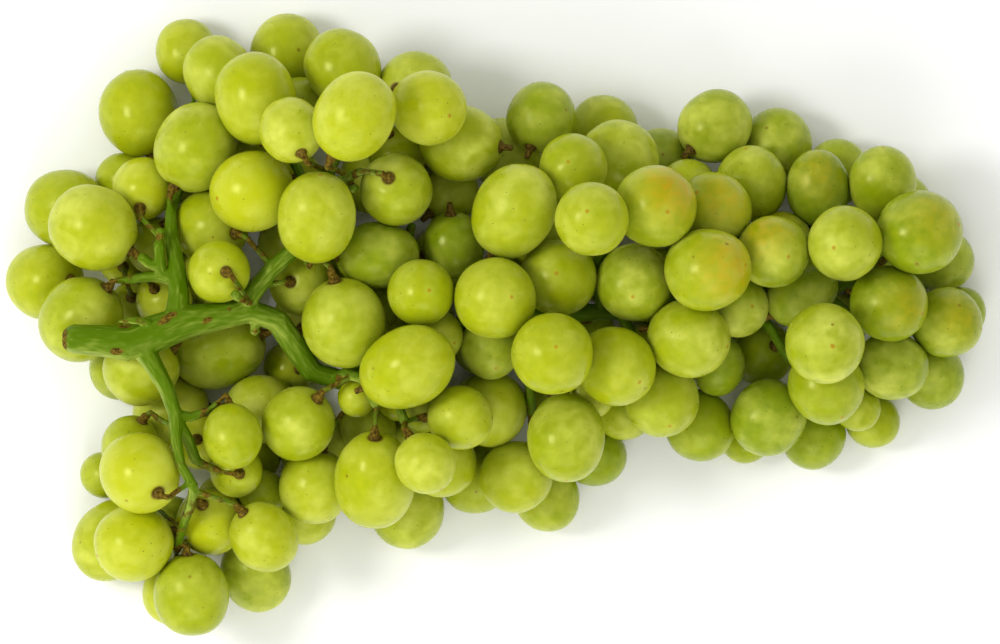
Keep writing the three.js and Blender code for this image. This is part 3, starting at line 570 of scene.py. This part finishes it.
colour = flesh
marks = ((BLOOM, wax_tint), (AMBER, sun_amount), (PORE_BROWN, pores), (RUST, rusty),
         (BLOOM, halo), (SCAR, scar), (CORK, ring))
for paint, amount in marks:
    colour = add(tree, "ShaderNodeMix", {"data_type": "RGBA"}, {7: linear(paint)},
                 {0: amount, 6: colour}).outputs[2]
print(len(marks), "marks lie over the flesh")

# %% [markdown]
# Skin without wax shines like a polished leaf, and wax dulls it, so the roughness follows the
# wax. A fine bump keeps the highlight from looking like glass. Fruit is full of water, so its
# IOR is close to that of water with some sugar, and light goes a few millimetres into the flesh,
# red and green further than blue. The wax is a little yellow, and so is what it reflects.

# %% Set the shine, the depth and the fine relief of the skin
SKIN_GRAIN = 0.5  # coarser than the real skin, so that it shows
SKIN_RELIEF = 0.05 * MM
LIGHT_DEPTH = 5 * MM

gloss = add(tree, "ShaderNodeMapRange", inputs={"To Min": 0.2, "To Max": 0.52},
            links={"Value": wax}).outputs[0]
grain = add(tree, "ShaderNodeTexNoise", inputs={"Scale": per_metre(SKIN_GRAIN), "Detail": 2},
            links={"Vector": place}).outputs["Fac"]
relief = add(tree, "ShaderNodeBump", inputs={"Strength": 0.25, "Distance": SKIN_RELIEF},
             links={"Height": grain}).outputs[0]
for socket, source in (("Base Color", colour), ("Roughness", gloss), ("Normal", relief)):
    tree.links.new(source, shader.inputs[socket])
shader.inputs["IOR"].default_value = 1.4
shader.inputs["Specular IOR Level"].default_value = 0.42
shader.inputs["Specular Tint"].default_value = linear("#fffdac")
shader.inputs["Subsurface Weight"].default_value = 0.5
shader.inputs["Subsurface Radius"].default_value = (1.0, 0.9, 0.15)
shader.inputs["Subsurface Scale"].default_value = LIGHT_DEPTH
print("The skin material has", len(tree.nodes), "nodes")

# %% [markdown]
# ## Dry cork
# The swollen ends of the stalks have dried to cork: dead, spongy cells with dark pits and no
# shine at all. It is a plain rough finish with one noise, and the stem uses the same noise where
# it has dried, so the mix is a function that works in any material.

# %% Mix the cork
CORK_LIGHT = "#846c20"
CORK_DARK = "#362607"
WART = 0.7


def cork_colour(tree, place):
    """Brown cork with darker pits."""
    pits = add(tree, "ShaderNodeTexNoise", inputs={"Scale": per_metre(WART), "Detail": 5},
               links={"Vector": place}).outputs["Fac"]
    depth = add(tree, "ShaderNodeMapRange", inputs={"From Min": 0.34, "From Max": 0.72},
                links={"Value": pits}).outputs[0]
    return add(tree, "ShaderNodeMix", {"data_type": "RGBA"},
               {6: linear(CORK_DARK), 7: linear(CORK_LIGHT)}, {0: depth}).outputs[2]


cork, tree, shader = new_material("dry_cork")
place = add(tree, "ShaderNodeTexCoord").outputs["Object"]
tree.links.new(cork_colour(tree, place), shader.inputs["Base Color"])
shader.inputs["Roughness"].default_value = 0.75
shader.inputs["Specular IOR Level"].default_value = 0.15
print("The cork material has", len(tree.nodes), "nodes")

# %% [markdown]
# ## Green stem
# The main stem and its side shoots are still green and a little ribbed along their length, and
# a painted highlight makes the side that faces the lamps paler. The thin stalks, the old scars and
# the rim of the cut have dried to cork. Two materials on the stem would meet at a hard line, so it
# has one that mixes both. Three attributes of its mesh, worked out further down, steer it: how
# corky each point is, how much painted light it takes, and a direction along the grain that draws
# the ribs out into streaks.

# %% Mix the stem material
STEM_GREEN = "#4c6c00"
# the pale green is a painted highlight on the side of the stem that faces the lamps
STEM_PAINTED_LIGHT = "#b0bf50"
STREAKS = 2.2  # per unit of the grain attribute
PAINTED_LIGHT_STRENGTH = 0.7
CORK_PATCH = 2.4
CORK_RAGGED = 0.9
RIB_RELIEF = 0.25 * MM

stem_skin, tree, shader = new_material("green_stem")
place = add(tree, "ShaderNodeTexCoord").outputs["Object"]
corky = add(tree, "ShaderNodeAttribute", {"attribute_name": "corky"}).outputs["Fac"]
grain = add(tree, "ShaderNodeAttribute", {"attribute_name": "grain"}).outputs["Vector"]
painted_light_share = add(tree, "ShaderNodeAttribute", {"attribute_name": "pale"}).outputs["Fac"]

ribs = add(tree, "ShaderNodeTexNoise", inputs={"Scale": STREAKS, "Detail": 1.5},
           links={"Vector": grain}).outputs["Fac"]
# the real ribs and the painted light of the lit side are mixed into one pale streak pattern
ribs_and_painted_light = add(tree, "ShaderNodeMath", {"operation": "MULTIPLY_ADD"}, {1: PAINTED_LIGHT_STRENGTH},
                {0: painted_light_share, 2: ribs}).outputs[0]
ribs_and_painted_light = add(tree, "ShaderNodeMapRange", {"interpolation_type": "SMOOTHSTEP"},
                {"From Min": 0.42, "From Max": 1.4, "To Max": 0.85}, {"Value": ribs_and_painted_light}).outputs[0]
green = add(tree, "ShaderNodeMix", {"data_type": "RGBA"},
            {6: linear(STEM_GREEN), 7: linear(STEM_PAINTED_LIGHT)}, {0: ribs_and_painted_light}).outputs[2]

patches = add(tree, "ShaderNodeTexNoise", inputs={"Scale": per_metre(CORK_PATCH), "Detail": 3},
              links={"Vector": place}).outputs["Fac"]
cork_edge = add(tree, "ShaderNodeMath", {"operation": "MULTIPLY_ADD"}, {1: CORK_RAGGED},
                {0: patches, 2: corky}).outputs[0]
cork_mask = add(tree, "ShaderNodeMapRange", {"interpolation_type": "SMOOTHSTEP"},
                {"From Min": 0.78, "From Max": 1.0}, {"Value": cork_edge}).outputs[0]
stem_colour = add(tree, "ShaderNodeMix", {"data_type": "RGBA"}, {},
                  {0: cork_mask, 6: green, 7: cork_colour(tree, place)}).outputs[2]
dullness = add(tree, "ShaderNodeMapRange", inputs={"To Min": 0.42, "To Max": 0.8},
               links={"Value": cork_mask}).outputs[0]
stem_relief = add(tree, "ShaderNodeBump", inputs={"Strength": 0.5, "Distance": RIB_RELIEF},
                  links={"Height": ribs}).outputs[0]
for socket, source in (("Base Color", stem_colour), ("Roughness", dullness), ("Normal", stem_relief)):
    tree.links.new(source, shader.inputs[socket])
shader.inputs["Specular IOR Level"].default_value = 0.2
shader.inputs["Specular Tint"].default_value = linear("#fffd90")
print("The stem material has", len(tree.nodes), "nodes")

# %% [markdown]
# ## Build the groups of berries
# On the vine each berry is a piece of its own, and the CAD joins only those that press on each
# other. Following its groups keeps the two models alike: each group in the frame becomes one
# object with its berries and their stubs. The group's name ties it to the solid it stands for.

# %% Make one object for every group
def make_group(name, members):
    """The berries of one CAD node, as one object that replaces it."""
    bm = bmesh.new()
    layers = {"own": bm.verts.layers.float_vector.new("own")}
    for trait in ("ripe_and_shade", "wax", "amber"):
        layers[trait] = bm.verts.layers.float.new(trait)
    for b in members:
        grow_berry(bm, layers, b)
        grow_stub(bm, b)
    for face in bm.faces:
        face.smooth = True
    mesh = bpy.data.meshes.new(name.replace("grapes", "berries"))
    bm.to_mesh(mesh)
    bm.free()
    mesh.materials.append(skin)
    mesh.materials.append(cork)
    piece = bpy.data.objects.new(mesh.name, mesh)
    bpy.context.scene.collection.objects.link(piece)
    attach(piece, "root")
    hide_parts(name)
    return piece


pieces = [make_group(name, members) for name, members in groups.items()]
print(len(pieces), "groups,", sum(len(p.data.polygons) for p in pieces), "faces")

# %% [markdown]
# ## The stem
# The frame's stem is a skeleton of faceted bars. A real one grew as one piece: it swells where it
# branches, and every corner is rounded. Bars could be bevelled one by one, but their joints would
# stay sharp. Remeshing a merged copy with small voxels fuses the bars, and smoothing melts the
# corners together.

# %% Fuse and smooth the stem
VOXEL = 0.42 * MM
SMOOTHING_ROUNDS = 8

bm = bmesh.new()
bm.from_mesh(stem_node.data)
bmesh.ops.remove_doubles(bm, verts=bm.verts, dist=WELD)
stem_mesh = bpy.data.meshes.new("stem_and_stalks")
bm.to_mesh(stem_mesh)
bm.free()
stem = bpy.data.objects.new("stem_and_stalks", stem_mesh)
bpy.context.scene.collection.objects.link(stem)
remesh = stem.modifiers.new("fuse", "REMESH")
remesh.mode = "VOXEL"
remesh.voxel_size = VOXEL
soften = stem.modifiers.new("soften", "SMOOTH")
soften.factor = 0.5
soften.iterations = SMOOTHING_ROUNDS

bpy.context.view_layer.update()
graph = bpy.context.evaluated_depsgraph_get()
stem_mesh = bpy.data.meshes.new_from_object(stem.evaluated_get(graph))
stem.modifiers.clear()
stem.data = stem_mesh
print("The stem has", len(stem_mesh.polygons), "faces")

# %% [markdown]
# Cork grows where a stem is thin and old, where it was bruised, and where it was cut. None of
# these has to be painted: a ray shot inwards from each point measures how thick the stem is
# there, the berries' stem ends say where the knobs are, and the cut is at the lowest x. Only the
# old scars of shed shoots are listed.

# %% Say how corky each point of the stem is
THIN = 2.2 * MM
THIN_FADE = 0.5 * MM
THIN_CORK = 0.45  # thin stalks are only partly corky
KNOB_REACH = 3.6 * MM
KNOB_FADE = 1 * MM
CUT_RIM = 1.1 * MM
RIM_FADE = 0.6 * MM
SCAR_CORK = 0.8
SCAR_SLOPE = 1.5
RAY_START = 0.05 * MM  # just under the surface, so that the ray misses its own face
# x, y, half length and half width in mm, and the angle in degrees
OLD_SCARS = [(-94.5, -6.5, 2.6, 1.3, 0), (-82.3, 1.5, 4.2, 1.3, 32), (-72.5, 1, 2.6, 1.1, 25),
             (-93, -0.5, 2.4, 0.7, 5), (-87.5, -13, 1, 0.8, 0), (-85.5, -15, 1, 0.8, 0),
             (-66.5, 4, 1.2, 0.9, 40)]

bm = bmesh.new()
bm.from_mesh(stem_mesh)
bm.normal_update()
inside = BVHTree.FromBMesh(bm)
cut_end = min(v.co.x for v in bm.verts)
stalk_ends = [b["stem_end"] for b in berries if b["stalked"]]


def corkiness(v):
    """From 0, green, to 1, cork."""
    hit = inside.ray_cast(v.co - v.normal * RAY_START, -v.normal)[3]
    thin = share((THIN - (hit or 1)) / THIN_FADE)
    near = min((v.co - end).length for end in stalk_ends)
    knob = share((KNOB_REACH - near) / KNOB_FADE)
    rim = share((cut_end + CUT_RIM - v.co.x) / RIM_FADE)
    old = 0
    for x, y, half_length, half_width, angle in OLD_SCARS:
        offset = Vector((v.co.x / MM - x, v.co.y / MM - y))
        offset.rotate(Matrix.Rotation(-math.radians(angle), 2))
        away = math.hypot(offset.x / half_length, offset.y / half_width)
        old = max(old, min(SCAR_CORK, SCAR_SLOPE * (1 - away)) if v.normal.z > 0 else 0)
    return max(thin * THIN_CORK, knob, rim, old)


corky_layer = bm.verts.layers.float.new("corky")
painted_light_layer = bm.verts.layers.float.new("pale")
grain_layer = bm.verts.layers.float_vector.new("grain")
for v in bm.verts:
    v[corky_layer] = corkiness(v)
print("The cut end is at x =", round(cut_end / MM, 1), "mm")

# %% [markdown]
# The edge of the cork is soft on a living stem, so each point takes the mean of its neighbours a
# few times over. The same averaging of the normals says which way each stretch of the stem
# faces, without the bumps of its surface. The painted light of the lit side and the grain are read
# from those.

# %% Ease the cork, and find which way the stem faces
CORK_ROUNDS = 4
FACING_ROUNDS = 6

soft = [v.normal.copy() for v in bm.verts]
for _ in range(FACING_ROUNDS):
    soft = [sum((soft[e.other_vert(v).index] for e in v.link_edges), soft[v.index]).normalized()
            for v in bm.verts]
for _ in range(CORK_ROUNDS):
    eased = [sum(e.other_vert(v)[corky_layer] for e in v.link_edges) / len(v.link_edges)
             for v in bm.verts]
    for v, value in zip(bm.verts, eased):
        v[corky_layer] = value
print(round(100 * sum(v[corky_layer] > 0.5 for v in bm.verts) / len(bm.verts)), "% of it is cork")

# %% [markdown]
# Painted light makes the stem pale on the side that faces the lamps, and further into the bunch it
# is painted pale on top too, a painted highlight where the lamps reach it. Only the main stem gets
# this painted light, and it lies higher than most of the stalks, so a limit of height keeps it off
# them. The grain attribute turns with the surface and creeps slowly along the stem, so noise that
# reads it comes out as long streaks. Last, the skin is moved out to give back what the smoothing
# took from the thin stalks, and noise raises small warts where it is corky.

# %% Paint the light on the stem's lit side, and raise the warts
LIT_SIDE = Vector((-0.5, -0.86, 0))
PAINTED_LIGHT_ABOVE = 31  # mm
PAINTED_LIGHT_FADE = 4  # mm
LIT_TOP = 0.28
LIT_TOP_FROM = -85  # mm along x
LIT_TOP_SPAN = 25  # mm
GRAIN_AROUND = 1.2
GRAIN_LENGTH = 9 * MM
WARTS = 0.35 * MM
WART_SIZE = 1.1 * MM
STEM_SWELL = 0.22 * MM

for v in bm.verts:
    faces_way = soft[v.index]
    # painted light: the side that faces the lamps, and the top further into the bunch, are made paler
    # as a painted highlight; stalks low down get none
    lit_top_share = LIT_TOP * share((v.co.x / MM - LIT_TOP_FROM) / LIT_TOP_SPAN) * max(0, faces_way.z)
    above = share((v.co.z / MM - PAINTED_LIGHT_ABOVE) / PAINTED_LIGHT_FADE)
    v[painted_light_layer] = (max(0, LIT_SIDE.dot(faces_way)) ** 2 + lit_top_share) * above
    v[grain_layer] = faces_way * GRAIN_AROUND + v.co / GRAIN_LENGTH
    wart = noise.noise(v.co / WART_SIZE) * WARTS * v[corky_layer]
    v.co += v.normal * (STEM_SWELL + wart)
print("The warts rise", round(WARTS / MM, 2), "mm at most")

# %% [markdown]
# Shears leave a flat cut, and its rim dries first and draws in. Pulling the last few millimetres
# towards the middle of the cut rounds the rim, more so the nearer a point is to the end.

# %% Round the cut end, and finish the stem
CUT_MIDDLE = Vector((-109, -3.8, 38.5)) * MM
END_ROUND = 3 * MM
END_PINCH = 0.4  # share of the way to the middle at the very end

for v in bm.verts:
    depth = (cut_end + END_ROUND - v.co.x) / END_ROUND
    if depth > 0:
        v.co.y += (CUT_MIDDLE.y - v.co.y) * END_PINCH * depth ** 2
        v.co.z += (CUT_MIDDLE.z - v.co.z) * END_PINCH * depth ** 2
for face in bm.faces:
    face.smooth = True
bm.to_mesh(stem_mesh)
bm.free()
stem_mesh.materials.append(stem_skin)
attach(stem, "root")
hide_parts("stem")
print("The last", round(END_ROUND / MM), "mm of the cut end are rounded")

# %% [markdown]
# ## Floor, light and camera
# The bunch lies on a plain pale floor. One soft lamp stands high on the left and gives every
# berry its small window of light, and a wide low one at the near side fills the rest. A real
# studio would have reflectors as well, and a pale world does the same here. The camera looks
# straight down from far away through a long lens, so nothing is drawn out of shape.

# %% Lay the floor
FLOOR_HALF = 12  # metres, so that no view sees its edge

bm = bmesh.new()
bmesh.ops.create_grid(bm, x_segments=1, y_segments=1, size=FLOOR_HALF)
floor_mesh = bpy.data.meshes.new("floor")
bm.to_mesh(floor_mesh)
bm.free()
paper, tree, shader = new_material("white_paper")
shader.inputs["Base Color"].default_value = linear("#fdfdfc")
shader.inputs["Roughness"].default_value = 0.9
floor_mesh.materials.append(paper)
floor = bpy.data.objects.new("floor", floor_mesh)
bpy.context.scene.collection.objects.link(floor)
print("The floor is", 2 * FLOOR_HALF, "m wide")

# %% Set up the light
WORLD_LIGHT = 0.74


def soft_lamp(name, position, size, power):
    """A square area lamp that faces the bunch."""
    lamp = bpy.data.lights.new(name, "AREA")
    lamp.shape = "SQUARE"
    lamp.size = size
    lamp.energy = power
    holder = bpy.data.objects.new(name, lamp)
    holder.location = position
    holder.rotation_mode = "QUATERNION"
    holder.rotation_quaternion = Vector(position).to_track_quat("Z", "Y")
    bpy.context.scene.collection.objects.link(holder)
    print(name, "is", size, "m wide and shines with", power, "W")


soft_lamp("window", (-0.62, 0.1, 0.75), 0.28, 4.2)
soft_lamp("near_fill", (0.05, -1.1, 0.85), 0.9, 6.9)
world = bpy.data.worlds.new("pale_room")
bpy.context.scene.world = world
world.use_nodes = True
world.node_tree.nodes.clear()
air = add(world.node_tree, "ShaderNodeBackground",
          inputs={"Color": linear("#ffffff"), "Strength": WORLD_LIGHT})
add(world.node_tree, "ShaderNodeOutputWorld", links={"Surface": air.outputs[0]})
bpy.context.scene.view_settings.view_transform = "Standard"

# %% Place the camera
VIEW_WIDTH = 0.250  # metres across the view, at half the height of the bunch
VIEW_CENTRE = (0.0009, 0.00075)
CAMERA_HEIGHT = 4.0  # metres
SENSOR = 36  # mm
FAR_END = 50  # metres

camera = bpy.data.cameras.new("camera")
camera.sensor_width = SENSOR
camera.lens = SENSOR * (CAMERA_HEIGHT - MID_Z) / VIEW_WIDTH
camera.clip_end = FAR_END
eye = bpy.data.objects.new("camera", camera)
eye.location = (*VIEW_CENTRE, CAMERA_HEIGHT)
bpy.context.scene.collection.objects.link(eye)
bpy.context.scene.camera = eye
print("The lens is", round(camera.lens), "mm long")
